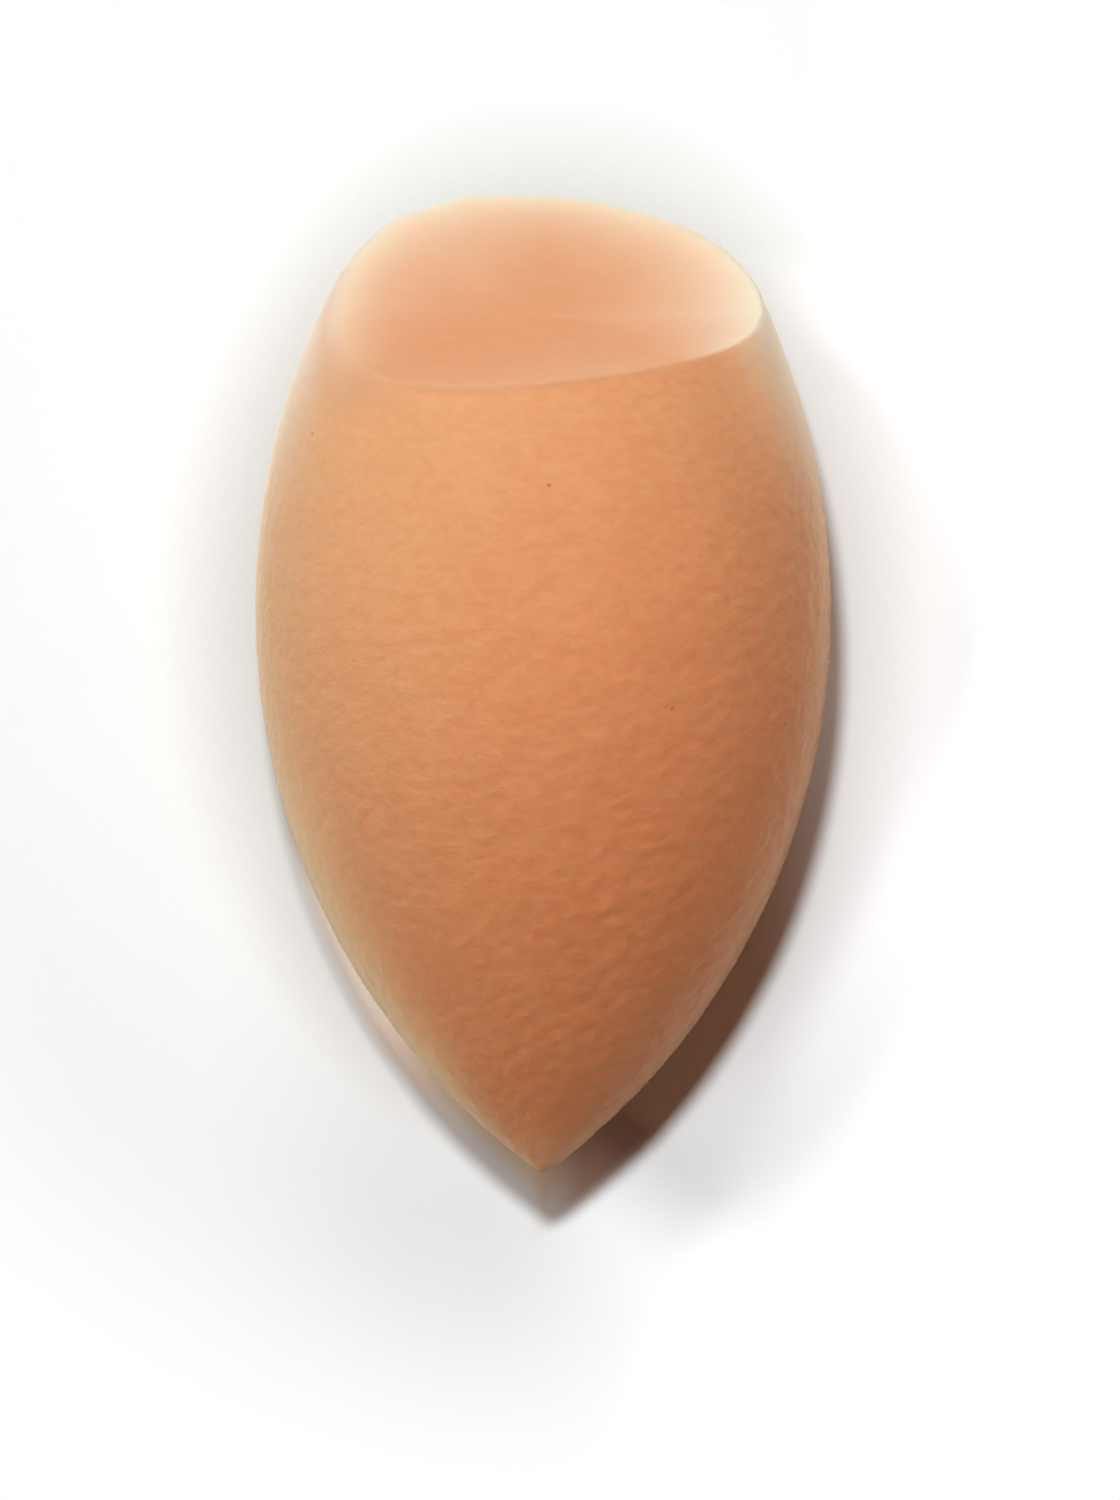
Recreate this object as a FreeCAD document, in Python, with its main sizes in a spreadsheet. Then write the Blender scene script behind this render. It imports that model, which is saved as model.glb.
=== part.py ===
import FreeCAD, Part
import Sketcher
import math
import os

# A makeup sponge that lies on its side: a teardrop of soft foam whose blunt end is cut off
# at a slant. The body is round about an axis along Y. The tip points to -Y, and the slanted
# face looks to +Y and up. The origin is on the surface that the sponge lies on, under the
# centre of its widest part, the belly. Lengths are in millimetres and angles in degrees.

doc = FreeCAD.newDocument("makeup_sponge")

# Driving sizes: name, value, what it measures
drivingSizes = (
    ("belly_diameter", 38.5, "widest part of the round body"),
    ("tip_length", 37.8, "belly to where the flanks would meet, along the axis"),
    ("tip_radius", 0.5, "rounding of the tip"),
    ("shoulder_radius", 48.5, "arc that leads from the belly towards the blunt end"),
    ("shoulder_reach", 21.9, "how far along the axis that arc runs from the belly"),
    ("face_angle", 25.3, "direction of the slanted face's nearest point, up from the axis"),
    ("face_distance", 19.3, "belly's centre to that nearest point"),
    ("face_slope_radius", 60, "hollow of the slanted face, down its slope"),
    ("face_cross_radius", 140, "hollow of the slanted face, from side to side"),
    ("skin_thickness", 0.6, "dense skin that forms against the wall of the mould"),
    ("rest_flat_depth", 0.5, "how far the foam gives way where it lies on a surface"),
    ("cut_overrun", 12, "how far a cut runs on past the foam"),
)

sizes = doc.addObject("Spreadsheet::Sheet", "Sizes")
for row, (name, value, meaning) in enumerate(drivingSizes, start=1):
    sizes.set(f"A{row}", name)
    sizes.set(f"B{row}", str(value))
    sizes.set(f"C{row}", meaning)
    sizes.setAlias(f"B{row}", name)
doc.recompute()

# Sizes that follow from the driving ones, written as expressions on the sheet
bellyRadius = "(Sizes.belly_diameter / 2)"
flankRadius = f"((Sizes.tip_length ^ 2 + {bellyRadius} ^ 2) / Sizes.belly_diameter)"
cutReach = f"({bellyRadius} + Sizes.cut_overrun)"

# Where a line or arc keeps its ends and centre, and where a sketch keeps its own two axes,
# which count down from its first line. Its origin is the flat axis's start.
start, end, centre = range(1, 4)
flatAxis, uprightAxis = range(-1, -3, -1)
origin = (flatAxis, start)


def valueOf(expression):
    return float(sizes.evalExpression(expression))


def newSketch(body, name, role):
    planes = {plane.Role: plane for plane in body.Origin.OriginFeatures}
    sketch = body.newObject("Sketcher::SketchObject", f"{body.Name}_{name}")
    sketch.AttachmentSupport = (planes[role], [""])
    sketch.MapMode = "FlatFace"
    return sketch


def addLine(sketch, first, second, construction=False):
    return sketch.addGeometry(Part.LineSegment(first, second), construction)


def addArc(sketch, middle, radius, startTurn, endTurn):
    circle = Part.Circle(middle, FreeCAD.Vector(0, 0, 1), radius)
    return sketch.addGeometry(Part.ArcOfCircle(circle, startTurn, endTurn), False)


def fix(sketch, kind, *where):
    sketch.addConstraint(Sketcher.Constraint(kind, *where))


# A constraint with a size, which follows its expression on the sheet
def drive(sketch, name, expression, kind, *where):
    value = valueOf(expression)
    if kind == "Angle":
        value = math.radians(value)
    index = sketch.addConstraint(Sketcher.Constraint(kind, *where, value))
    sketch.renameConstraint(index, name)
    sketch.setExpression(f"Constraints.{name}", expression)


# Recomputes a body after a cut, which has to take something away
def finishCut(body, cut):
    body.Tip = cut
    doc.recompute()
    if not cut.Shape.Volume < cut.BaseFeature.Shape.Volume:
        raise RuntimeError(f"{cut.Label} takes nothing away")


# The round body: half its outline turned about the axis, all of it an inset inside the skin's
# outer surface. Four arcs follow one another: cap, shoulder, flank and tip.
def addRoundBody(body, inset):
    belly = valueOf(f"{bellyRadius} - {inset}")
    flank = valueOf(f"{flankRadius} - {inset}")
    shoulder = valueOf(f"Sizes.shoulder_radius - {inset}")
    tip = valueOf("Sizes.tip_radius")

    # The cap's arc goes on from the shoulder's end, with its centre on the axis
    shoulderCentre = FreeCAD.Vector(0, belly - shoulder, 0)
    shoulderTurn = math.acos(valueOf("Sizes.shoulder_reach / Sizes.shoulder_radius"))
    capCentre = FreeCAD.Vector(-shoulderCentre.y / math.tan(shoulderTurn), 0, 0)
    cap = shoulder + shoulderCentre.y / math.sin(shoulderTurn)

    # The tip's arc touches the flank's arc from inside, with its centre on the axis too
    flankCentre = FreeCAD.Vector(0, belly - flank, 0)
    tipCentre = FreeCAD.Vector(-math.sqrt((flank - tip) ** 2 - flankCentre.y**2), 0, 0)
    tipTurn = math.atan2(-flankCentre.y, tipCentre.x)

    sketch = newSketch(body, "outline", "YZ_Plane")
    capArc = addArc(sketch, capCentre, cap, 0, shoulderTurn)
    shoulderArc = addArc(sketch, shoulderCentre, shoulder, shoulderTurn, math.pi / 2)
    flankArc = addArc(sketch, flankCentre, flank, math.pi / 2, tipTurn)
    tipArc = addArc(sketch, tipCentre, tip, tipTurn, math.pi)
    tipEnd = tipCentre - FreeCAD.Vector(tip, 0, 0)
    capEnd = capCentre + FreeCAD.Vector(cap, 0, 0)
    axisLine = addLine(sketch, tipEnd, capEnd)

    fix(sketch, "Tangent", capArc, end, shoulderArc, start)
    fix(sketch, "Coincident", shoulderArc, end, flankArc, start)
    fix(sketch, "Tangent", flankArc, end, tipArc, start)
    fix(sketch, "Coincident", tipArc, end, axisLine, start)
    fix(sketch, "Coincident", axisLine, end, capArc, start)
    fix(sketch, "PointOnObject", capArc, centre, flatAxis)
    fix(sketch, "PointOnObject", capArc, start, flatAxis)
    fix(sketch, "PointOnObject", shoulderArc, centre, uprightAxis)
    fix(sketch, "PointOnObject", flankArc, centre, uprightAxis)
    fix(sketch, "PointOnObject", flankArc, start, uprightAxis)
    fix(sketch, "PointOnObject", tipArc, centre, flatAxis)
    fix(sketch, "PointOnObject", tipArc, end, flatAxis)
    drive(sketch, "tip", "Sizes.tip_radius", "Radius", tipArc)
    drive(sketch, "flank", f"{flankRadius} - {inset}", "Radius", flankArc)
    drive(sketch, "shoulder", f"Sizes.shoulder_radius - {inset}", "Radius", shoulderArc)
    drive(sketch, "belly", f"{bellyRadius} - {inset}", "DistanceY", *origin, flankArc, start)
    reach = f"Sizes.shoulder_reach * (1 - {inset} / Sizes.shoulder_radius)"
    drive(sketch, "reach", reach, "DistanceX", *origin, shoulderArc, start)

    turned = body.newObject("PartDesign::Revolution", f"{body.Name}_turned")
    turned.Profile = sketch
    turned.ReferenceAxis = (sketch, ["H_Axis"])
    turned.Angle = 360
    body.Tip = turned
    doc.recompute()


# The slanted face, slightly hollow both ways. A block with one bulging side is swung across
# the blunt end. A spoke from the belly's centre runs through the middle of the bulge to the
# line that the block swings about.
def cutSlantedFace(body):
    turn = math.radians(valueOf("Sizes.face_angle"))
    out = FreeCAD.Vector(math.cos(turn), math.sin(turn), 0)
    side = FreeCAD.Vector(-math.sin(turn), math.cos(turn), 0)
    bulge = valueOf("Sizes.face_slope_radius")
    bulgeCentre = out * valueOf("Sizes.face_distance + Sizes.face_slope_radius")
    swingPoint = out * valueOf("Sizes.face_distance + Sizes.face_cross_radius")
    halfWidth = valueOf(cutReach)
    halfTurn = math.asin(halfWidth / bulge)
    upper = bulgeCentre - out * bulge * math.cos(halfTurn) + side * halfWidth
    lower = upper - side * halfWidth * 2
    farUpper = upper + out * halfWidth
    farLower = lower + out * halfWidth

    sketch = newSketch(body, "slanted_face_outline", "YZ_Plane")
    swingLine = addLine(sketch, swingPoint, swingPoint + side * halfWidth, True)
    spoke = addLine(sketch, FreeCAD.Vector(), swingPoint, True)
    backTurn = turn + math.pi
    bulgeArc = addArc(sketch, bulgeCentre, bulge, backTurn - halfTurn, backTurn + halfTurn)
    lowerSide = addLine(sketch, lower, farLower)
    farSide = addLine(sketch, farLower, farUpper)
    upperSide = addLine(sketch, farUpper, upper)

    fix(sketch, "Coincident", spoke, start, *origin)
    fix(sketch, "Coincident", swingLine, start, spoke, end)
    fix(sketch, "Perpendicular", spoke, swingLine)
    fix(sketch, "PointOnObject", bulgeArc, centre, spoke)
    fix(sketch, "Symmetric", bulgeArc, start, bulgeArc, end, spoke)
    fix(sketch, "Coincident", bulgeArc, end, lowerSide, start)
    fix(sketch, "Coincident", lowerSide, end, farSide, start)
    fix(sketch, "Coincident", farSide, end, upperSide, start)
    fix(sketch, "Coincident", upperSide, end, bulgeArc, start)
    fix(sketch, "Parallel", lowerSide, spoke)
    fix(sketch, "Parallel", upperSide, spoke)
    fix(sketch, "Perpendicular", farSide, spoke)
    drive(sketch, "face_angle", "Sizes.face_angle * 1 deg", "Angle", spoke)
    swing = "Sizes.face_distance + Sizes.face_cross_radius"
    drive(sketch, "swing_distance", swing, "Distance", spoke)
    bulgeDistance = "Sizes.face_distance + Sizes.face_slope_radius"
    drive(sketch, "bulge_distance", bulgeDistance, "Distance", *origin, bulgeArc, centre)
    drive(sketch, "bulge_radius", "Sizes.face_slope_radius", "Radius", bulgeArc)
    drive(sketch, "block_width", f"2 * {cutReach}", "Distance", farSide)
    drive(sketch, "block_depth", cutReach, "Distance", lowerSide)
    drive(sketch, "swing_line", cutReach, "Distance", swingLine)

    cut = body.newObject("PartDesign::Groove", f"{body.Name}_slanted_face")
    cut.Profile = sketch
    cut.ReferenceAxis = (sketch, ["Axis0"])
    cut.Midplane = True
    cut.setExpression("Angle", f"2 * atan({cutReach} / Sizes.face_cross_radius)")
    finishCut(body, cut)


# The flat on the underside, where the foam gives way under its own weight
def cutRestFlat(body, inset):
    depth = f"{bellyRadius} - Sizes.rest_flat_depth - {inset}"
    top = -valueOf(depth)
    reach = valueOf(cutReach)
    corners = [
        FreeCAD.Vector(-reach, top - reach, 0),
        FreeCAD.Vector(reach, top - reach, 0),
        FreeCAD.Vector(reach, top, 0),
        FreeCAD.Vector(-reach, top, 0),
    ]

    sketch = newSketch(body, "rest_flat_outline", "YZ_Plane")
    sides = [
        addLine(sketch, corner, following)
        for corner, following in zip(corners, corners[1:] + corners[:1])
    ]
    bottomSide, backSide, topSide, frontSide = sides

    for line, following in zip(sides, sides[1:] + sides[:1]):
        fix(sketch, "Coincident", line, end, following, start)
    fix(sketch, "Symmetric", topSide, start, topSide, end, uprightAxis)
    fix(sketch, "Horizontal", bottomSide)
    fix(sketch, "Vertical", backSide)
    fix(sketch, "Vertical", frontSide)
    drive(sketch, "depth", depth, "DistanceY", topSide, start, *origin)
    drive(sketch, "block_depth", cutReach, "Distance", backSide)
    drive(sketch, "block_length", f"2 * {cutReach}", "Distance", bottomSide)

    cut = body.newObject("PartDesign::Pocket", f"{body.Name}_rest_flat")
    cut.Profile = sketch
    cut.SideType = "Symmetric"
    cut.Type = "Length"
    cut.setExpression("Length", f"2 * {cutReach}")
    finishCut(body, cut)


def addFoamForm(name, inset):
    body = doc.addObject("PartDesign::Body", name)
    addRoundBody(body, inset)
    cutSlantedFace(body)
    cutRestFlat(body, inset)
    body.setExpression(".Placement.Base.z", f"{bellyRadius} - Sizes.rest_flat_depth")
    doc.recompute()
    return body


# Open-cell core, which shows at the slanted face
foamCore = addFoamForm("foam_core", "Sizes.skin_thickness")

# Moulded skin: the whole sponge less its core, so that the two meet face to face
wholeSponge = addFoamForm("whole_sponge", "0")
mouldedSkin = doc.addObject("Part::Cut", "moulded_skin")
mouldedSkin.Base = wholeSponge
mouldedSkin.Tool = foamCore
doc.recompute()

# Nothing is written unless every object is sound
for item in doc.Objects:
    if "Invalid" in item.State or "Error" in item.State:
        raise RuntimeError(f"{item.Label} failed: {item.State}")

subparts = (mouldedSkin, foamCore)
for item in subparts:
    if item.Shape.isNull() or not item.Shape.isValid() or len(item.Shape.Solids) != 1:
        raise RuntimeError(f"{item.Label} is not one sound solid")

shared = mouldedSkin.Shape.common(foamCore.Shape).Volume
leftOut = wholeSponge.Shape.Volume - mouldedSkin.Shape.Volume - foamCore.Shape.Volume
print(f"volume shared by skin and core {shared:.4f}, left out of both {leftOut:.4f}")

# Each file is read back, to see that it holds the same sound solid
os.makedirs("parts", exist_ok=True)
for item in subparts:
    fileName = f"parts/{item.Label}.step"
    item.Shape.exportStep(fileName)
    written = Part.read(fileName)
    if not written.isValid() or len(written.Solids) != 1:
        raise RuntimeError(f"{fileName} doesn't hold one sound solid")
    box = written.optimalBoundingBox(False, False)
    print(f"{item.Label}: {written.Volume:.1f} cubic millimetres")
    print(f"  {box.XLength:.2f} wide, {box.YLength:.2f} long, {box.ZLength:.2f} high")
    print(f"  from {box.YMin:.2f} to {box.YMax:.2f} along the axis, lowest at {box.ZMin:.3f}")
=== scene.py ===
import math

import bmesh
import bpy
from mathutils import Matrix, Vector, kdtree, noise


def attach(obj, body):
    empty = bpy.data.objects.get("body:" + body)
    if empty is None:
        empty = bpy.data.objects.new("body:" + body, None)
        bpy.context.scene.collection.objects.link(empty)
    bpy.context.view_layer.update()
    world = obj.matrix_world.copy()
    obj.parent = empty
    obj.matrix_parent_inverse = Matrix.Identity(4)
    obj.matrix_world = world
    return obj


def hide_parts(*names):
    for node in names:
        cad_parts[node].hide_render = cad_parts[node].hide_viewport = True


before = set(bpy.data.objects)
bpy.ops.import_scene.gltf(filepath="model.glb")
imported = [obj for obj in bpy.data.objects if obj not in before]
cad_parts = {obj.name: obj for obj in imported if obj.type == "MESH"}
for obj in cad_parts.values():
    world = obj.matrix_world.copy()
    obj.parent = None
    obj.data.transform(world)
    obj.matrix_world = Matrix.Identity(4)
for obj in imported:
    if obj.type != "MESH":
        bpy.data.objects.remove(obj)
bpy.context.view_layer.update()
scene = bpy.context.scene
mm = 0.001


def finishObject(name, bm, materials):
    mesh = bpy.data.meshes.new(name)
    bm.to_mesh(mesh)
    bm.free()
    mesh.shade_smooth()
    for material in materials:
        mesh.materials.append(material)
    piece = bpy.data.objects.new(name, mesh)
    scene.collection.objects.link(piece)
    return piece


# A node with its settings, each input given as another node's output or as a plain value
def addNode(tree, kind, inputs=(), **settings):
    node = tree.nodes.new(kind)
    for name, value in settings.items():
        setattr(node, name, value)
    for name, value in dict(inputs).items():
        if isinstance(value, bpy.types.NodeSocket):
            tree.links.new(value, node.inputs[name])
        else:
            node.inputs[name].default_value = value
    return node


def mixColours(tree, share, first, second, blend="MIX"):
    inputs = {"Factor": share, "A": first, "B": second}
    node = addNode(tree, "ShaderNodeMix", inputs, data_type="RGBA", blend_type=blend)
    return node.outputs["Result"]


def mixValues(tree, share, first, second):
    inputs = {"Factor": share, "A": first, "B": second}
    return addNode(tree, "ShaderNodeMix", inputs, data_type="FLOAT").outputs["Result"]


def combine(tree, operation, *sources):
    inputs = dict(enumerate(sources))
    return addNode(tree, "ShaderNodeMath", inputs, operation=operation).outputs["Value"]


# Distance of a place from a point, or how far the place lies along a direction
def measure(tree, operation, place, other=(0, 0, 0)):
    node = addNode(tree, "ShaderNodeVectorMath", {0: place, 1: other}, operation=operation)
    return node.outputs["Value"]


# Smooth change from 0 to 1 while the source goes from start to end
def ramp(tree, source, start, end):
    inputs = {"Value": source, "From Min": start, "From Max": end}
    node = addNode(tree, "ShaderNodeMapRange", inputs, interpolation_type="SMOOTHSTEP")
    return node.outputs["Result"]


# Grain, tone and pores, shared by the moulded surface and the cut face
foamDetail = {
    "inputs": {
        "Grain Scale": 1500,
        "Cell Scale": 4000,
        "Cell Share": 0.3,
        "Pore Scale": 300,
        "Pore Amount": 0.2,
        "Tone Scale": 180,
    },
    "outputs": ("Height", "Tone", "Pores"),
    "grain": {"Detail": 3, "Roughness": 0.55, "Distortion": 0.35},
    "grainTurn": (0, 0, math.radians(-14)),
    "grainStretch": (0.6, 1.15, 0.8),
    "cellSmoothness": 0.5,
    "poreEdge": (0.05, 0.02),  # where a pore starts and where it is deep, out from its middle
    "tone": {"Detail": 4, "Roughness": 0.6},
    "grainInTone": 0.6,
}


def buildFoamGroup():
    group = bpy.data.node_groups.new("foamDetail", "ShaderNodeTree")
    group.interface.new_socket(name="Vector", in_out="INPUT", socket_type="NodeSocketVector")
    for name, value in foamDetail["inputs"].items():
        socket = group.interface.new_socket(
            name=name, in_out="INPUT", socket_type="NodeSocketFloat"
        )
        socket.default_value = value
    for name in foamDetail["outputs"]:
        group.interface.new_socket(name=name, in_out="OUTPUT", socket_type="NodeSocketFloat")
    given = addNode(group, "NodeGroupInput").outputs
    place = given["Vector"]

    # fine soft grain, drawn out round the body
    stretch = addNode(group, "ShaderNodeMapping", {
        "Vector": place,
        "Rotation": foamDetail["grainTurn"],
        "Scale": foamDetail["grainStretch"],
    })
    grain = addNode(group, "ShaderNodeTexNoise", {
        "Vector": stretch.outputs["Vector"], "Scale": given["Grain Scale"], **foamDetail["grain"]
    })

    # open cells
    cells = addNode(group, "ShaderNodeTexVoronoi", {
        "Vector": place, "Scale": given["Cell Scale"], "Smoothness": foamDetail["cellSmoothness"]
    }, feature="SMOOTH_F1")
    height = mixValues(
        group, given["Cell Share"], grain.outputs["Fac"], cells.outputs["Distance"]
    )

    # a few small pores: only some of the cells of a wide pattern hold one
    pores = addNode(group, "ShaderNodeTexVoronoi", {
        "Vector": place, "Scale": given["Pore Scale"]
    }, feature="F1")
    spot = ramp(group, pores.outputs["Distance"], *foamDetail["poreEdge"])
    pick = addNode(group, "ShaderNodeSeparateColor", {"Color": pores.outputs["Color"]})
    chosen = combine(group, "LESS_THAN", pick.outputs["Red"], given["Pore Amount"])
    held = combine(group, "MULTIPLY", spot, chosen)
    sunk = combine(group, "SUBTRACT", height, held)

    # slow change of tone over the foam, with the grain in it
    tone = addNode(group, "ShaderNodeTexNoise", {
        "Vector": place, "Scale": given["Tone Scale"], **foamDetail["tone"]
    })
    mottle = mixValues(
        group, foamDetail["grainInTone"], tone.outputs["Fac"], grain.outputs["Fac"]
    )
    addNode(group, "NodeGroupOutput", {"Height": sunk, "Tone": mottle, "Pores": held})
    return group


# What both finishes have in common
foamFinish = {
    # also the colour of the line of painted shade along the front edge
    "rollAndEdgeShadeColour": (0.690, 0.356, 0.186, 1),
    # painted glow, as of light through the foam
    "paintedGlowColour": (1.0, 0.54, 0.26, 1),
    "poreColour": (0.60, 0.24, 0.11, 1),
    "mottleTones": (0.61, 0.39),  # no mottling at the first tone, all of it at the second
    "surface": {
        "Specular IOR Level": 0.15,
        "Subsurface Weight": 0.9,
        "Subsurface Radius": (1, 0.45, 0.25),
        "Subsurface Scale": 1.4 * mm,
    },
}

mouldedFinish = {
    "name": "mouldedFoam",
    # colour and mottling at the upper left, and where painted shade has deepened them to the tip
    "colours": ((0.795, 0.420, 0.210, 1), (0.797, 0.277, 0.107, 1)),
    "mottles": ((0.970, 0.930, 0.890, 1), (0.955, 0.900, 0.850, 1)),
    "paintedShadeAlong": (0.72, -0.69, 0),
    "paintedShadeReach": (-20 * mm, 30 * mm),
    # painted highlight along the rim and on the sides of the head
    "paintedHighlightColour": (1.0, 0.82, 0.67, 1),
    "detail": {
        "Grain Scale": 1500,
        "Cell Scale": 4200,
        "Cell Share": 0.25,
        "Pore Scale": 260,
        "Pore Amount": 0.25,
        "Tone Scale": 230,
    },
    "bumpDistance": 0.08 * mm,
    "surface": {
        "Roughness": 0.85,
        "Sheen Weight": 0.5,
        "Sheen Roughness": 0.40,
        "Sheen Tint": (1, 0.86, 0.66, 1),
    },
}

cutFinish = {
    "name": "cutFoam",
    # at the far edge, and deepened by painted shade to the front one
    "colours": ((0.757, 0.371, 0.193, 1), (0.757, 0.304, 0.148, 1)),
    "mottles": ((0.985, 0.965, 0.940, 1), (0.985, 0.965, 0.940, 1)),
    "paintedShadeAlong": (0, -1, 0),
    "paintedShadeReach": (-27 * mm, -13 * mm),
    # painted highlight along the rim
    "paintedHighlightColour": (1.0, 0.87, 0.66, 1),
    "detail": {
        "Grain Scale": 900,
        "Cell Scale": 3600,
        "Cell Share": 0.6,
        "Pore Scale": 500,
        "Pore Amount": 0.1,
        "Tone Scale": 120,
    },
    "bumpDistance": 0.03 * mm,
    "surface": {
        "Roughness": 0.9,
        "Sheen Weight": 0.4,
        "Sheen Roughness": 0.35,
        "Sheen Tint": (1, 0.86, 0.62, 1),
    },
}


# An attribute of the mesh, as a value
def painted(tree, name):
    return addNode(tree, "ShaderNodeAttribute", attribute_name=name).outputs["Fac"]


def buildFoam(finish, group):
    material = bpy.data.materials.new(finish["name"])
    material.use_nodes = True
    tree = material.node_tree
    shader = tree.nodes["Principled BSDF"]
    place = addNode(tree, "ShaderNodeTexCoord").outputs["Object"]
    inputs = {"Vector": place, **finish["detail"]}
    detail = addNode(tree, "ShaderNodeGroup", inputs, node_tree=group).outputs

    # painted shade: the foam and its mottling deepen slowly along one direction, away from the
    # light
    along = measure(tree, "DOT_PRODUCT", place, finish["paintedShadeAlong"])
    shaded = ramp(tree, along, *finish["paintedShadeReach"])
    base = mixColours(tree, shaded, *finish["colours"])
    mottle = mixColours(tree, shaded, *finish["mottles"])
    spread = ramp(tree, detail["Tone"], *foamFinish["mottleTones"])
    colour = mixColours(tree, spread, base, mottle, "MULTIPLY")
    # one colour for both finishes where the rim is rolled over, and a line of painted shade along
    # the front edge
    colour = mixColours(tree, painted(tree, "rimRollAndEdgeShade"), colour, foamFinish["rollAndEdgeShadeColour"])
    # painted glow, as of light through the foam, at the right shoulder, low on the left and at
    # the tip
    colour = mixColours(tree, painted(tree, "paintedLimbGlow"), colour, foamFinish["paintedGlowColour"])
    colour = mixColours(tree, detail["Pores"], colour, foamFinish["poreColour"])
    # painted highlight, paler along the rim and on the sides of the head
    colour = mixColours(tree, painted(tree, "paintedRimHighlight"), colour, finish["paintedHighlightColour"])
    tree.links.new(colour, shader.inputs["Base Color"])

    bump = addNode(tree, "ShaderNodeBump", {
        "Strength": 1, "Distance": finish["bumpDistance"], "Height": detail["Height"]
    })
    tree.links.new(bump.outputs["Normal"], shader.inputs["Normal"])
    for surface in (foamFinish["surface"], finish["surface"]):
        for name, value in surface.items():
            shader.inputs[name].default_value = value
    return material


foamGroup = buildFoamGroup()
mouldedFoam = buildFoam(mouldedFinish, foamGroup)
cutFoam = buildFoam(cutFinish, foamGroup)
print("foam materials made")

# A teardrop turned about an axis along Y, with its tip to -Y and a dished, slanted face
sponge = {
    "axisHeight": 18.75 * mm,
    "bellyRadius": 19.25 * mm,
    "tipReach": 37.8 * mm,  # belly to where the flanks would meet
    "tipRadius": 0.5 * mm,
    "shoulderRadius": 48.5 * mm,
    "shoulderReach": 21.9 * mm,
    "faceTurn": math.radians(26.1),  # how far the face looks up from the axis
    "faceDistance": 18.97 * mm,
    "slopeHollow": 52 * mm,  # radius of the dish up its slope, and across it
    "crossHollow": 180 * mm,
    "faceTwist": 5.1,  # rise of the upper right corner, for each metre across and up
    "faceLean": 0.0054,  # rise across the face
    "frontLift": 0.5 * mm,  # how much fuller it is at its front edge, in the middle and right
    "liftUp": (-5 * mm, 10 * mm),  # it starts at the first place and is full at the second
    "liftAcross": (-9 * mm, 4 * mm),
    "faceMiddle": -4.8 * mm,  # middle of the face, up its slope from its nearest point
    "rimPoints": 720,
    "rimHalvings": 30,
    "rimRounding": 0.25 * mm,
    "headStart": 5 * mm,  # along Y, where the rim's softness and painted highlight may start
    "rimReach": 6.5 * mm,  # how far from the rim it is softened, and in how many rounds
    "coarseSoftening": 22,
    "fineSoftening": 60,
    # turns round the face, in degrees, between which the rim gets soft
    "softUpper": (118, 145),
    "softLower": (95, 145),
    "softFar": (20, 60),
    "farSoftness": 0.25,
    # turn round the face, painted highlight at the rim there, and how far it reaches
    "paintedHighlightSteps": (
        (-180, 0.72, 3.0 * mm),
        (-130, 1.0, 3.7 * mm),
        (-90, 0.95, 2.6 * mm),
        (-45, 0.92, 3.3 * mm),
        (0, 1.0, 4.4 * mm),
        (25, 0.68, 3.0 * mm),
        (50, 0, 2.4 * mm),
        (140, 0, 2.0 * mm),
        (180, 0.72, 3.0 * mm),
    ),
    # turn round the face, and how far the rim stands out there
    "swellSteps": (
        (-180, 0.12 * mm),
        (-165, 0.35 * mm),
        (-152, 0.80 * mm),
        (-135, 1.30 * mm),
        (-117, 0.60 * mm),
        (-98, 0.15 * mm),
        (-70, 0.20 * mm),
        (-50, 0.50 * mm),
        (-38, 0.45 * mm),
        (-25, 0.22 * mm),
        (5, 0),
        (118, 0),
        (180, 0.12 * mm),
    ),
    "spokes": 96,
    "rows": 50,
    "rings": 12,
    "fineness": 2,
    "weld": 0.001 * mm,
    "press": 0.12 * mm,  # how softly the flat underneath meets the round body
}

spongeCentre = Vector((0, 0, sponge["axisHeight"]))
faceOut = Vector((0, math.cos(sponge["faceTurn"]), math.sin(sponge["faceTurn"])))
faceUp = Vector((0, -math.sin(sponge["faceTurn"]), math.cos(sponge["faceTurn"])))


# Arcs of the outline from the tip on: centre along the axis, centre out from it, radius, turns
def outlineArcs():
    belly, tip = sponge["bellyRadius"], sponge["tipRadius"]
    flank = (sponge["tipReach"] ** 2 + belly**2) / (2 * belly)
    tipAlong = -math.sqrt((flank - tip) ** 2 - (belly - flank) ** 2)
    tipTurn = math.atan2(flank - belly, tipAlong)
    shoulder = sponge["shoulderRadius"]
    shoulderTurn = math.acos(sponge["shoulderReach"] / shoulder)
    capAlong = (shoulder - belly) / math.tan(shoulderTurn)
    cap = shoulder - (shoulder - belly) / math.sin(shoulderTurn)
    return (
        (tipAlong, 0, tip, math.pi, tipTurn),
        (0, belly - flank, flank, tipTurn, math.pi / 2),
        (0, belly - shoulder, shoulder, math.pi / 2, shoulderTurn),
        (capAlong, 0, cap, shoulderTurn, 0),
    )


arcs = outlineArcs()
arcLengths = [radius * (startTurn - endTurn) for _, _, radius, startTurn, endTurn in arcs]


# Point on the body, a distance from the tip along the outline, at a turn from straight up
def bodyPoint(distance, turn):
    for (along, out, radius, startTurn, endTurn), length in zip(arcs, arcLengths):
        if distance <= length:
            break
        distance -= length
    here = startTurn - distance / radius
    reach = out + radius * math.sin(here)
    return spongeCentre + Vector(
        (reach * math.sin(turn), along + radius * math.cos(here), reach * math.cos(turn))
    )


# Smooth step from 0 at start to 1 at end
def ease(value, start, end):
    share = min(1, max(0, (value - start) / (end - start)))
    return share * share * (3 - 2 * share)


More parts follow.
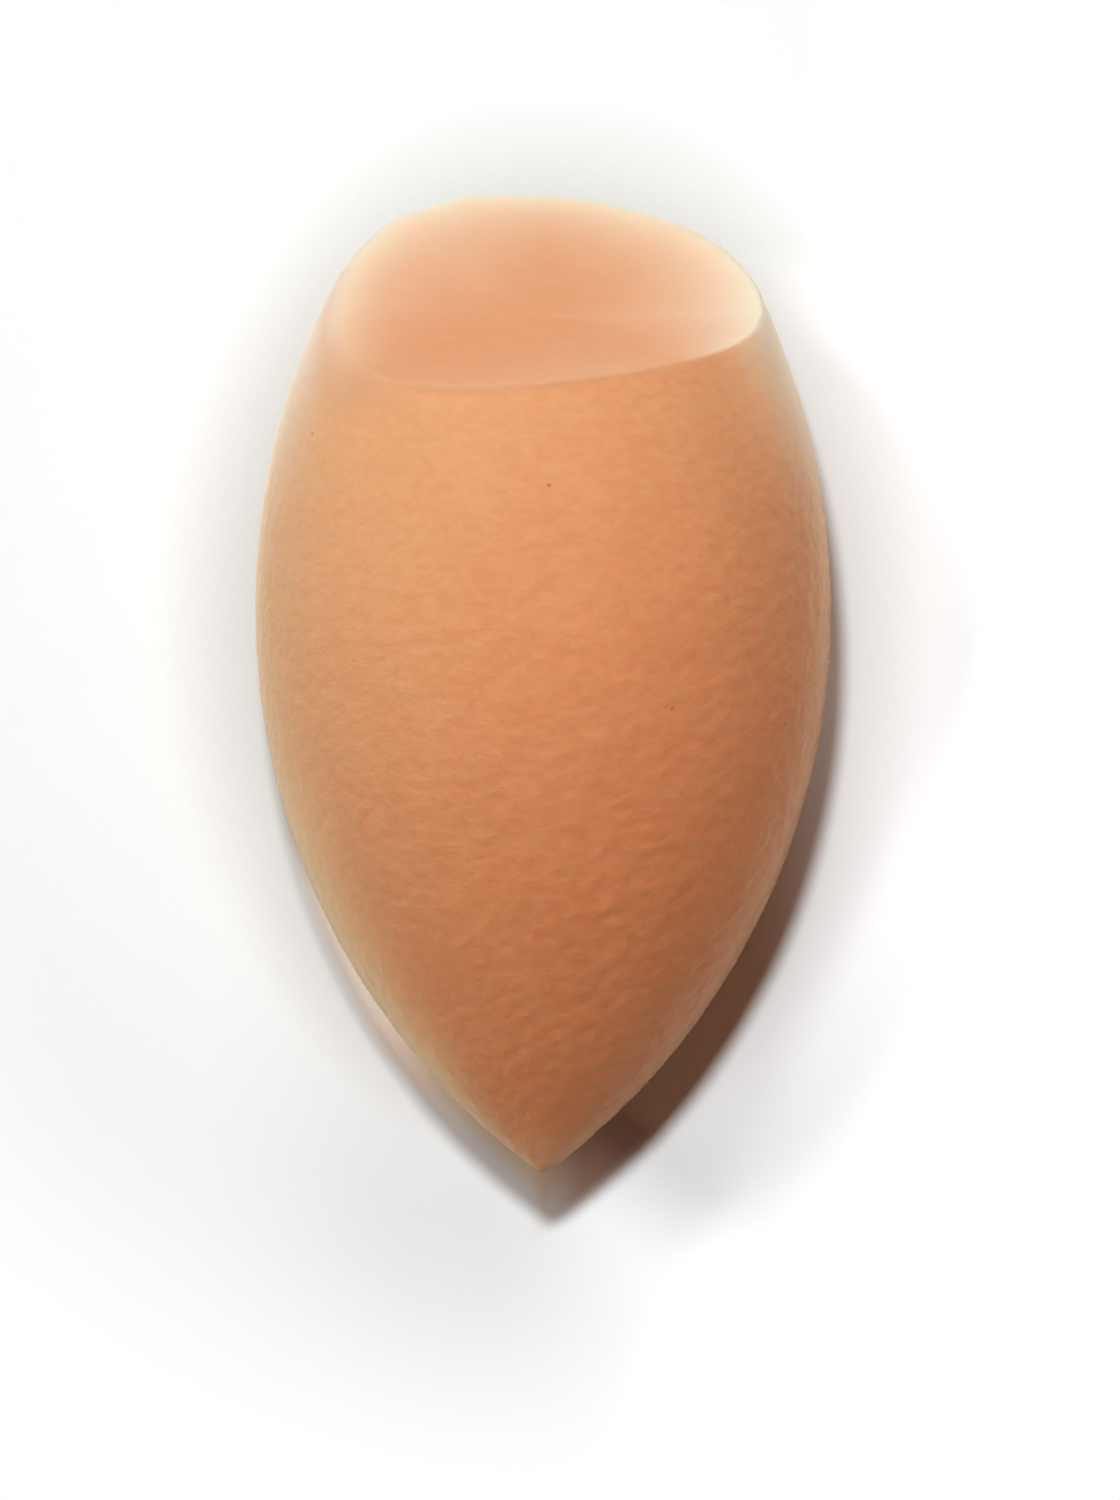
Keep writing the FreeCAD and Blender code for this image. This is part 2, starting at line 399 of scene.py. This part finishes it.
# How far out the dished face lies, at a place across it and up its slope
def faceHeight(across, up):
    bulge = sponge["crossHollow"] - sponge["slopeHollow"]
    swing = bulge + math.sqrt(sponge["slopeHollow"] ** 2 - up**2)
    hollow = sponge["crossHollow"] - math.sqrt(swing**2 - across**2)
    skew = sponge["faceTwist"] * across * up + sponge["faceLean"] * across
    front = ease(up, *sponge["liftUp"]) * ease(across, *sponge["liftAcross"])
    return sponge["faceDistance"] + hollow + skew + sponge["frontLift"] * front


def facePoint(across, up):
    return spongeCentre + faceOut * faceHeight(across, up) + faceUp * up + Vector((across, 0, 0))


# Distance along the outline, past the belly, at which the face cuts the body off, by halving
def rimDistance(turn):
    near, far = sum(arcLengths[:2]), sum(arcLengths)
    for _ in range(sponge["rimHalvings"]):
        middle = (near + far) / 2
        offset = bodyPoint(middle, turn) - spongeCentre
        if offset.dot(faceOut) > faceHeight(offset.x, offset.dot(faceUp)):
            far = middle
        else:
            near = middle
    return near


rimTree = kdtree.KDTree(sponge["rimPoints"])
for count in range(sponge["rimPoints"]):
    turn = math.tau * count / sponge["rimPoints"]
    rimTree.insert(bodyPoint(rimDistance(turn), turn), count)
rimTree.balance()


# Distance from the rim, and the turn round the face: 0 at its right end, 90 at its upper edge
def rimPlace(place):
    offset = place - spongeCentre
    up = offset.dot(faceUp) - sponge["faceMiddle"]
    return rimTree.find(place)[2], math.degrees(math.atan2(up, offset.x))


# The rim is softest round its left end, and soft along the far side
def rimSoftness(turn):
    left = ease(turn, *sponge["softUpper"]) if turn > 0 else ease(-turn, *sponge["softLower"])
    far = sponge["farSoftness"] * ease(-turn, *sponge["softFar"])
    return max(left, far)


# The values of the steps before and after a turn, and how far it lies between them
def stepsAround(turn, steps):
    for before, after in zip(steps, steps[1:]):
        if turn <= after[0]:
            break
    return before[1:], after[1:], (turn - before[0]) / (after[0] - before[0])


# How strong the painted highlight is, by its distance from the rim and the turn round the face
def paintedRimHighlight(reach, turn):
    (amountA, reachA), (amountB, reachB), share = stepsAround(turn, sponge["paintedHighlightSteps"])
    amount = amountA + (amountB - amountA) * share
    return amount * math.exp(-reach / (reachA + (reachB - reachA) * share))


# Smooth the rim where it is soft, over fewer vertices in each round
def softenRim(bm, rounds):
    softness = {}
    for v in bm.verts:
        if v.co.y > sponge["headStart"]:
            reach, turn = rimPlace(v.co)
            softness[v] = rimSoftness(turn) * ease(reach, sponge["rimReach"], 0)
    for count in range(rounds):
        soft = [v for v, value in softness.items() if value > (count + 0.5) / rounds]
        if soft:
            bmesh.ops.smooth_vert(
                bm, verts=soft, factor=0.5, use_axis_x=True, use_axis_y=True, use_axis_z=True
            )


# Put back what the softening takes off, and the fuller corners of the head
def swellRim(bm):
    bm.normal_update()
    for v in bm.verts:
        if v.co.y > sponge["headStart"]:
            reach, turn = rimPlace(v.co)
            (swellA,), (swellB,), share = stepsAround(turn, sponge["swellSteps"])
            swell = swellA + (swellB - swellA) * ease(share, 0, 1)
            v.co += v.normal * (swell * ease(reach, sponge["rimReach"], 0))


def buildSponge():
    bm = bmesh.new()
    # one line spun to a plain tube, then every row drawn in to the outline
    ends = [bm.verts.new((1, along, 0)) for along in (0, 1)]
    line = bm.edges.new(ends)
    bmesh.ops.subdivide_edges(bm, edges=[line], cuts=sponge["rows"] - 1)
    bmesh.ops.spin(
        bm, geom=bm.verts[:] + bm.edges[:], cent=(0, 0, 0), axis=(0, 1, 0),
        angle=math.tau, steps=sponge["spokes"], use_merge=True,
    )
    for v in bm.verts:
        turn = math.atan2(v.co.x, v.co.z)
        v.co = bodyPoint(v.co.y * rimDistance(turn), turn)
    bmesh.ops.remove_doubles(bm, verts=bm.verts, dist=sponge["weld"])

    # the face: rings extruded inwards from the rim, laid on the dish
    ring = [e for e in bm.edges if e.is_boundary]
    for count in range(sponge["rings"], 0, -1):
        made = bmesh.ops.extrude_edge_only(bm, edges=ring)["geom"]
        ring = [e for e in made if isinstance(e, bmesh.types.BMEdge) and e.is_boundary]
        for v in {v for e in ring for v in e.verts}:
            offset = v.co - spongeCentre
            up = offset.dot(faceUp) - sponge["faceMiddle"]
            shrink = (count - 1) / count
            v.co = facePoint(offset.x * shrink, sponge["faceMiddle"] + up * shrink)
        for face in {f for e in ring for f in e.link_faces}:
            face.material_index = 1
    bmesh.ops.remove_doubles(bm, verts=bm.verts, dist=sponge["weld"])
    bmesh.ops.recalc_face_normals(bm, faces=bm.faces)

    rim = [
        e for e in bm.edges
        if e.link_faces[0].material_index != e.link_faces[-1].material_index
    ]
    bmesh.ops.bevel(
        bm, geom=rim, offset=sponge["rimRounding"], segments=2, profile=0.5,
        affect="EDGES", material=-1,
    )
    softenRim(bm, sponge["coarseSoftening"])
    swellRim(bm)
    return bm


cage = finishObject("spongeCage", buildSponge(), [])
smoother = cage.modifiers.new("smoother", "SUBSURF")
smoother.levels = smoother.render_levels = sponge["fineness"]
smoothCage = cage.evaluated_get(bpy.context.evaluated_depsgraph_get())
fineMesh = bpy.data.meshes.new_from_object(smoothCage)
bpy.data.objects.remove(cage)
print("sponge form made,", len(fineMesh.polygons), "faces")

# Where a glow of light through the foam and a highlight are painted into the colour. Each pair
# of values is where the effect starts and where it is full; a slope is how far up the surface
# looks, 1 being straight up
limbs = {
    "flankSlope": (0.72, 0.3),  # painted glow low on the left
    "flankAcross": (0, -8 * mm),
    "flankAlong": (0, -16 * mm),
    "flankGlow": 0.85,
    "tipAlong": (-33 * mm, -37 * mm),
    "tipGlow": 0.35,
    "shoulderSlope": (0.8, 0.4),  # painted glow of the right shoulder
    "shoulderAcross": (2 * mm, 12 * mm),
    "shoulderReach": (12 * mm, 1 * mm),  # from the rim
    "rimSlope": (0.75, 0.35),  # the skin shows the rim's painted highlight only where it slopes
    "sideSlope": (0.65, 0.15),  # painted highlight on the sides of the head, all round
    "sideReach": (15 * mm, 1 * mm),
    "paintedSideHighlight": 0.82,
    "edgeShadeReach": (0.9 * mm, 0.2 * mm),  # the rolled colour also marks the front edge as a line of painted shade
    "edgeShadeTurn": (80, 60),  # in degrees from its middle
    "rollReach": (5 * mm, 0),  # that colour's reach from the rim where it is soft
}


# How strong the painted glow is low on the left and at the tip
def bodyGlow(v):
    flank = (
        ease(v.normal.z, *limbs["flankSlope"])
        * ease(v.co.x, *limbs["flankAcross"])
        * ease(v.co.y, *limbs["flankAlong"])
    )
    return max(limbs["flankGlow"] * flank, limbs["tipGlow"] * ease(v.co.y, *limbs["tipAlong"]))


# Attributes that the materials read: painted highlight, the rolled colour with a line of painted
# shade, and painted glow
def paintFoam(bm):
    highlightLayer = bm.verts.layers.float.new("paintedRimHighlight")
    rollAndEdgeShade = bm.verts.layers.float.new("rimRollAndEdgeShade")
    glow = bm.verts.layers.float.new("paintedLimbGlow")
    bm.normal_update()
    for v in bm.verts:
        if v.co.y < sponge["headStart"]:
            v[glow] = bodyGlow(v)
            continue
        reach, turn = rimPlace(v.co)
        softness = rimSoftness(turn)
        # the rolled colour where the rim is soft, and a line of painted shade along the front
        # edge
        edgeShadeLine = ease(reach, *limbs["edgeShadeReach"]) * ease(abs(turn - 90), *limbs["edgeShadeTurn"])
        v[rollAndEdgeShade] = max(edgeShadeLine, softness * ease(reach, *limbs["rollReach"]))
        if v.link_faces[0].material_index:
            v[highlightLayer] = paintedRimHighlight(reach, turn)
            continue
        # painted highlight on the skin: along the rim where it slopes, and down the sides of the
        # head
        sloping = ease(v.normal.z, *limbs["rimSlope"])
        side = ease(v.normal.z, *limbs["sideSlope"]) * ease(reach, *limbs["sideReach"])
        v[highlightLayer] = max(
            paintedRimHighlight(reach, turn) * max(sloping, softness), limbs["paintedSideHighlight"] * side
        )
        # painted glow of the right shoulder
        v[glow] = (
            ease(v.normal.z, *limbs["shoulderSlope"])
            * ease(v.co.x, *limbs["shoulderAcross"])
            * ease(reach, *limbs["shoulderReach"])
        )


relief = {
    "seed": 5,  # of the noise by which the wrinkles wander
    "wavesSize": 7 * mm,
    "wavesHeight": 0.045 * mm,
    "wrinkleSize": 1.1 * mm,
    "wrinkleHeight": 0.052 * mm,
    "wrinkleSlant": 0.25,
    "wrinkleDraw": 1.7,  # how much finer the wrinkles are along the axis
    "driftScale": 0.5,  # how finely and how far the wrinkles wander
    "driftAmount": 0.6,
    "fineScale": 2.1,  # finer wrinkles among them, and how strong
    "fineShare": 0.5,
    "coarsening": 1.1,  # how much rougher it gets to the lower right
    "coarseningAlong": (0.6, -0.8),
    "coarseningReach": (-20 * mm, 25 * mm),
    "faceShare": 0.2,  # the cut face is smoother
    "sideShare": 0.5,  # and so are the sides
    "sideSlope": (0.1, 0.6),
}

noise.seed_set(relief["seed"])


# Relief of the moulded surface in metres: slow unevenness and soft wrinkles
def reliefAt(place):
    waves = noise.noise(place / relief["wavesSize"])
    drawn = Vector((
        place.x, (place.y - place.x * relief["wrinkleSlant"]) * relief["wrinkleDraw"], place.z
    )) / relief["wrinkleSize"]
    drift = noise.noise_vector(drawn * relief["driftScale"]) * relief["driftAmount"]
    fine = noise.noise(drawn * relief["fineScale"] + drift)
    wrinkles = noise.noise(drawn + drift) + relief["fineShare"] * fine
    alongX, alongY = relief["coarseningAlong"]
    lower = ease(alongX * place.x + alongY * place.y, *relief["coarseningReach"])
    coarser = 1 + relief["coarsening"] * lower
    return (waves * relief["wavesHeight"] + wrinkles * relief["wrinkleHeight"]) * coarser


def addRelief(bm):
    bm.normal_update()
    moved = []
    for v in bm.verts:
        cutShare = sum(f.material_index for f in v.link_faces) / len(v.link_faces)
        share = 1 + (relief["faceShare"] - 1) * cutShare
        facingUp = ease(v.normal.z, *relief["sideSlope"])
        share *= relief["sideShare"] + (1 - relief["sideShare"]) * facingUp
        moved.append(v.co + v.normal * reliefAt(v.co) * share)
    for v, place in zip(bm.verts, moved):
        lift = math.hypot(place.z, sponge["press"])
        v.co = (place.x, place.y, (place.z + lift) / 2)  # soft flat where it rests


bm = bmesh.new()
bm.from_mesh(fineMesh)
bpy.data.meshes.remove(fineMesh)
paintFoam(bm)
softenRim(bm, sponge["fineSoftening"])
addRelief(bm)
foam = finishObject("foam", bm, [mouldedFoam, cutFoam])
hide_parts("moulded_skin", "foam_core")
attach(foam, "root")
print("sponge relief made")

# The pale floor. Each fade goes from where it starts to where it is full, in millimetres
floorFinish = {
    "radius": 2.0,
    "segments": 96,
    "colour": (0.90, 0.90, 0.89, 1),
    # as the camera sees it, left and right of the sponge; the right is painted lighter where the
    # left lamp's shadow falls
    "leftColour": (1.06, 1.115, 1.14, 1),
    "rightPaintedLightColour": (1.46, 1.56, 1.61, 1),
    "rightFades": (("across", -5, 14), ("along", 27, 19)),
    "farRightFades": (("across", 18, 26),),
    # painted contact shade: close round the sponge it greys softly
    "contactShadeColour": (0.06, 0.06, 0, 1),
    "contactShadeReach": 14 * mm,
    "contactShadeSamples": 8,
    # painted shadow tints: each colour multiplies the floor inside its fades
    "paintedShadowTints": (
        # painted shade, warmed by the foam's colour thrown back on the floor, left of the tip
        {"colour": (0.80, 0.62, 0.45, 1),
         "fades": (("along", -27, -34), ("across", 5, 0), ("wedge", 43.2, 39.5))},
        # painted shadow, darker and browner, right of it, where the tip is close over the floor
        {"colour": (0.53, 0.34, 0.27, 1),
         "fades": (("slant", -27, -32.4), ("across", -1.5, 3), ("rightEdge", 50, 48.6))},
        # painted light: low on the right the shadow is lighter
        {"colour": (1.15, 1.15, 1.15, 1),
         "fades": (("lowRight", 27.5, 32),)},
        # painted light: low on the left the shadow starts faintly
        {"colour": (2.05, 1.92, 1.80, 1),
         "fades": (("along", -39, -27), ("along", -14, -20), ("across", 0, -5),
                   ("leftEdge", 49.9, 48.4))},
    ),
    "lowRightAlong": (0.9, -0.45, 0),
    # the shadow's edges low on both sides are arcs about these points
    "leftEdgeCentre": (29.8 * mm, -3 * mm, 0),
    "rightEdgeCentre": (-28.5 * mm, -3 * mm, 0),
    "whiteReach": (41 * mm, 62 * mm),  # beyond the second the camera sees plain white
}


# What the fades go by, in metres
def floorMeasures(tree, place):
    parts = addNode(tree, "ShaderNodeSeparateXYZ", {"Vector": place}).outputs
    across, along = parts["X"], parts["Y"]
    return {
        "across": across,
        "along": along,
        "wedge": combine(tree, "SUBTRACT", combine(tree, "ABSOLUTE", across), along),
        "slant": combine(tree, "ADD", across, along),
        "lowRight": measure(tree, "DOT_PRODUCT", place, floorFinish["lowRightAlong"]),
        "leftEdge": measure(tree, "DISTANCE", place, floorFinish["leftEdgeCentre"]),
        "rightEdge": measure(tree, "DISTANCE", place, floorFinish["rightEdgeCentre"]),
    }


# Several fades multiplied
def fadeBy(tree, measures, fades):
    shares = [ramp(tree, measures[name], start * mm, end * mm) for name, start, end in fades]
    product = shares[0]
    for share in shares[1:]:
        product = combine(tree, "MULTIPLY", product, share)
    return product


def buildFloor():
    material = bpy.data.materials.new("paleFloor")
    material.use_nodes = True
    tree = material.node_tree
    tree.nodes.clear()
    place = addNode(tree, "ShaderNodeTexCoord").outputs["Object"]
    cameraRay = addNode(tree, "ShaderNodeLightPath").outputs["Is Camera Ray"]
    measures = floorMeasures(tree, place)

    # the right is painted lighter where the left lamp's shadow falls
    right = fadeBy(tree, measures, floorFinish["rightFades"])
    farRight = fadeBy(tree, measures, floorFinish["farRightFades"])
    right = combine(tree, "MAXIMUM", right, farRight)
    colour = mixColours(tree, right, floorFinish["leftColour"], floorFinish["rightPaintedLightColour"])
    # painted contact shade, from how much the sponge hides round each point
    contactShade = addNode(
        tree, "ShaderNodeAmbientOcclusion", {"Distance": floorFinish["contactShadeReach"]},
        samples=floorFinish["contactShadeSamples"],
    )
    colour = mixColours(tree, contactShade.outputs["AO"], floorFinish["contactShadeColour"], colour)
    # painted shadow tints
    for tint in floorFinish["paintedShadowTints"]:
        share = fadeBy(tree, measures, tint["fades"])
        colour = mixColours(tree, share, colour, tint["colour"], "MULTIPLY")
    colour = mixColours(tree, cameraRay, floorFinish["colour"], colour)
    matt = addNode(tree, "ShaderNodeBsdfDiffuse", {"Color": colour})

    # far from the sponge the camera sees plain white
    white = addNode(tree, "ShaderNodeEmission", {"Strength": 1})
    away = ramp(tree, measure(tree, "DISTANCE", place), *floorFinish["whiteReach"])
    both = addNode(tree, "ShaderNodeMixShader", {
        0: combine(tree, "MULTIPLY", away, cameraRay),
        1: matt.outputs["BSDF"],
        2: white.outputs["Emission"],
    })
    addNode(tree, "ShaderNodeOutputMaterial", {"Surface": both.outputs["Shader"]})

    bm = bmesh.new()
    bmesh.ops.create_circle(
        bm, cap_ends=True, segments=floorFinish["segments"], radius=floorFinish["radius"]
    )
    floor = finishObject("floor", bm, [material])


# Lamps: place, size across, and how bright it makes a surface that faces it, 1 being white
lamps = {
    "mainLamp": {"place": (-11 * mm, 48 * mm, 320 * mm), "size": 20 * mm, "level": 0.535,
                 "colour": (1, 1, 1)},
    "leftLamp": {"place": (-0.44, 0.24, 0.70), "size": 0.28, "level": 0.335,
                 "colour": (1, 0.99, 0.97)},
    "backLamp": {"place": (-0.05, 0.75, 0.33), "size": 0.3, "level": 0.275,
                 "colour": (1, 0.99, 0.97)},
    "rightLamp": {"place": (0.56, 0.20, 0.10), "size": 0.3, "level": 0.115,
                  "colour": (1, 0.60, 0.38)},
}
lampTarget = Vector((0, 0, 20 * mm))
world = {"level": 0.008, "colour": (1, 1, 1, 1)}


def addLamps():
    for name, lamp in lamps.items():
        light = bpy.data.lights.new(name, "AREA")
        light.shape = "DISK"
        light.size = lamp["size"]
        light.color = lamp["colour"]
        aim = Vector(lamp["place"]) - lampTarget
        light.energy = math.pi**2 * aim.length_squared * lamp["level"]
        holder = bpy.data.objects.new(name, light)
        holder.location = lamp["place"]
        holder.rotation_euler = aim.to_track_quat("Z", "Y").to_euler()
        scene.collection.objects.link(holder)


# A dim world lights the sponge, and the camera sees plain white instead
def addWorld():
    surroundings = bpy.data.worlds.new("surroundings")
    scene.world = surroundings
    surroundings.use_nodes = True
    tree = surroundings.node_tree
    dim = tree.nodes["Background"]
    dim.inputs["Color"].default_value = world["colour"]
    dim.inputs["Strength"].default_value = world["level"]
    white = addNode(tree, "ShaderNodeBackground", {"Color": (1, 1, 1, 1), "Strength": 1})
    both = addNode(tree, "ShaderNodeMixShader", {
        0: addNode(tree, "ShaderNodeLightPath").outputs["Is Camera Ray"],
        1: dim.outputs["Background"],
        2: white.outputs["Background"],
    })
    tree.links.new(both.outputs["Shader"], tree.nodes["World Output"].inputs["Surface"])


view = {"place": (1.13 * mm, -9.36 * mm, 353.4 * mm), "lens": 120, "sensor": 36, "near": 10 * mm}


# The camera looks straight down, with the sponge's tip towards the bottom of the picture
def addCamera():
    camera = bpy.data.cameras.new("camera")
    camera.lens = view["lens"]
    camera.sensor_width = view["sensor"]
    camera.clip_start = view["near"]
    holder = bpy.data.objects.new("camera", camera)
    holder.location = view["place"]
    scene.collection.objects.link(holder)
    scene.camera = holder


buildFloor()
addLamps()
addWorld()
addCamera()
scene.view_settings.view_transform = "Standard"
print("floor, light and camera set")
